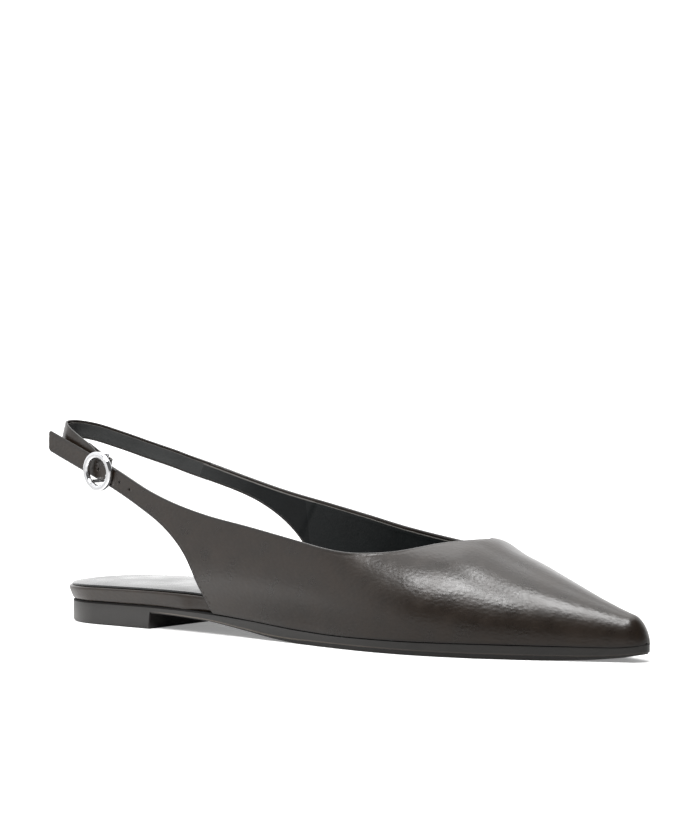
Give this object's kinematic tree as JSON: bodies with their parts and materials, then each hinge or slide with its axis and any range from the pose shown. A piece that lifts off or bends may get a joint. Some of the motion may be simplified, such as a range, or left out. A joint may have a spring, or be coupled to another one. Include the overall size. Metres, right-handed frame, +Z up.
{
  "type": "pointed-toe flat slingback shoe",
  "caption": "Low flat shoe for the right foot with a pointed closed toe, an open heel, and a slim strap round the heel that a small round buckle fastens on the outer side.",
  "frame": {"origin": "on the floor under the middle of the whole shoe's box", "axes": "+X towards the toe, +Y towards the inner side of the foot, +Z up"},
  "size_m": [0.2802, 0.0738, 0.0787],
  "materials": {
    "brown_leather": "smooth nappa leather, dark brown, semi-gloss",
    "black_sock_leather": "soft black lining leather, satin",
    "charcoal_rubber": "moulded, semi-gloss edge",
    "polished_steel": "polished"
  },
  "bodies": {
    "root": {"outsole": "charcoal_rubber", "midsole": "brown_leather", "insole": "black_sock_leather", "upper": "brown_leather", "sling_strap": "brown_leather", "buckle_ring": "polished_steel"}
  },
  "joints": []
}
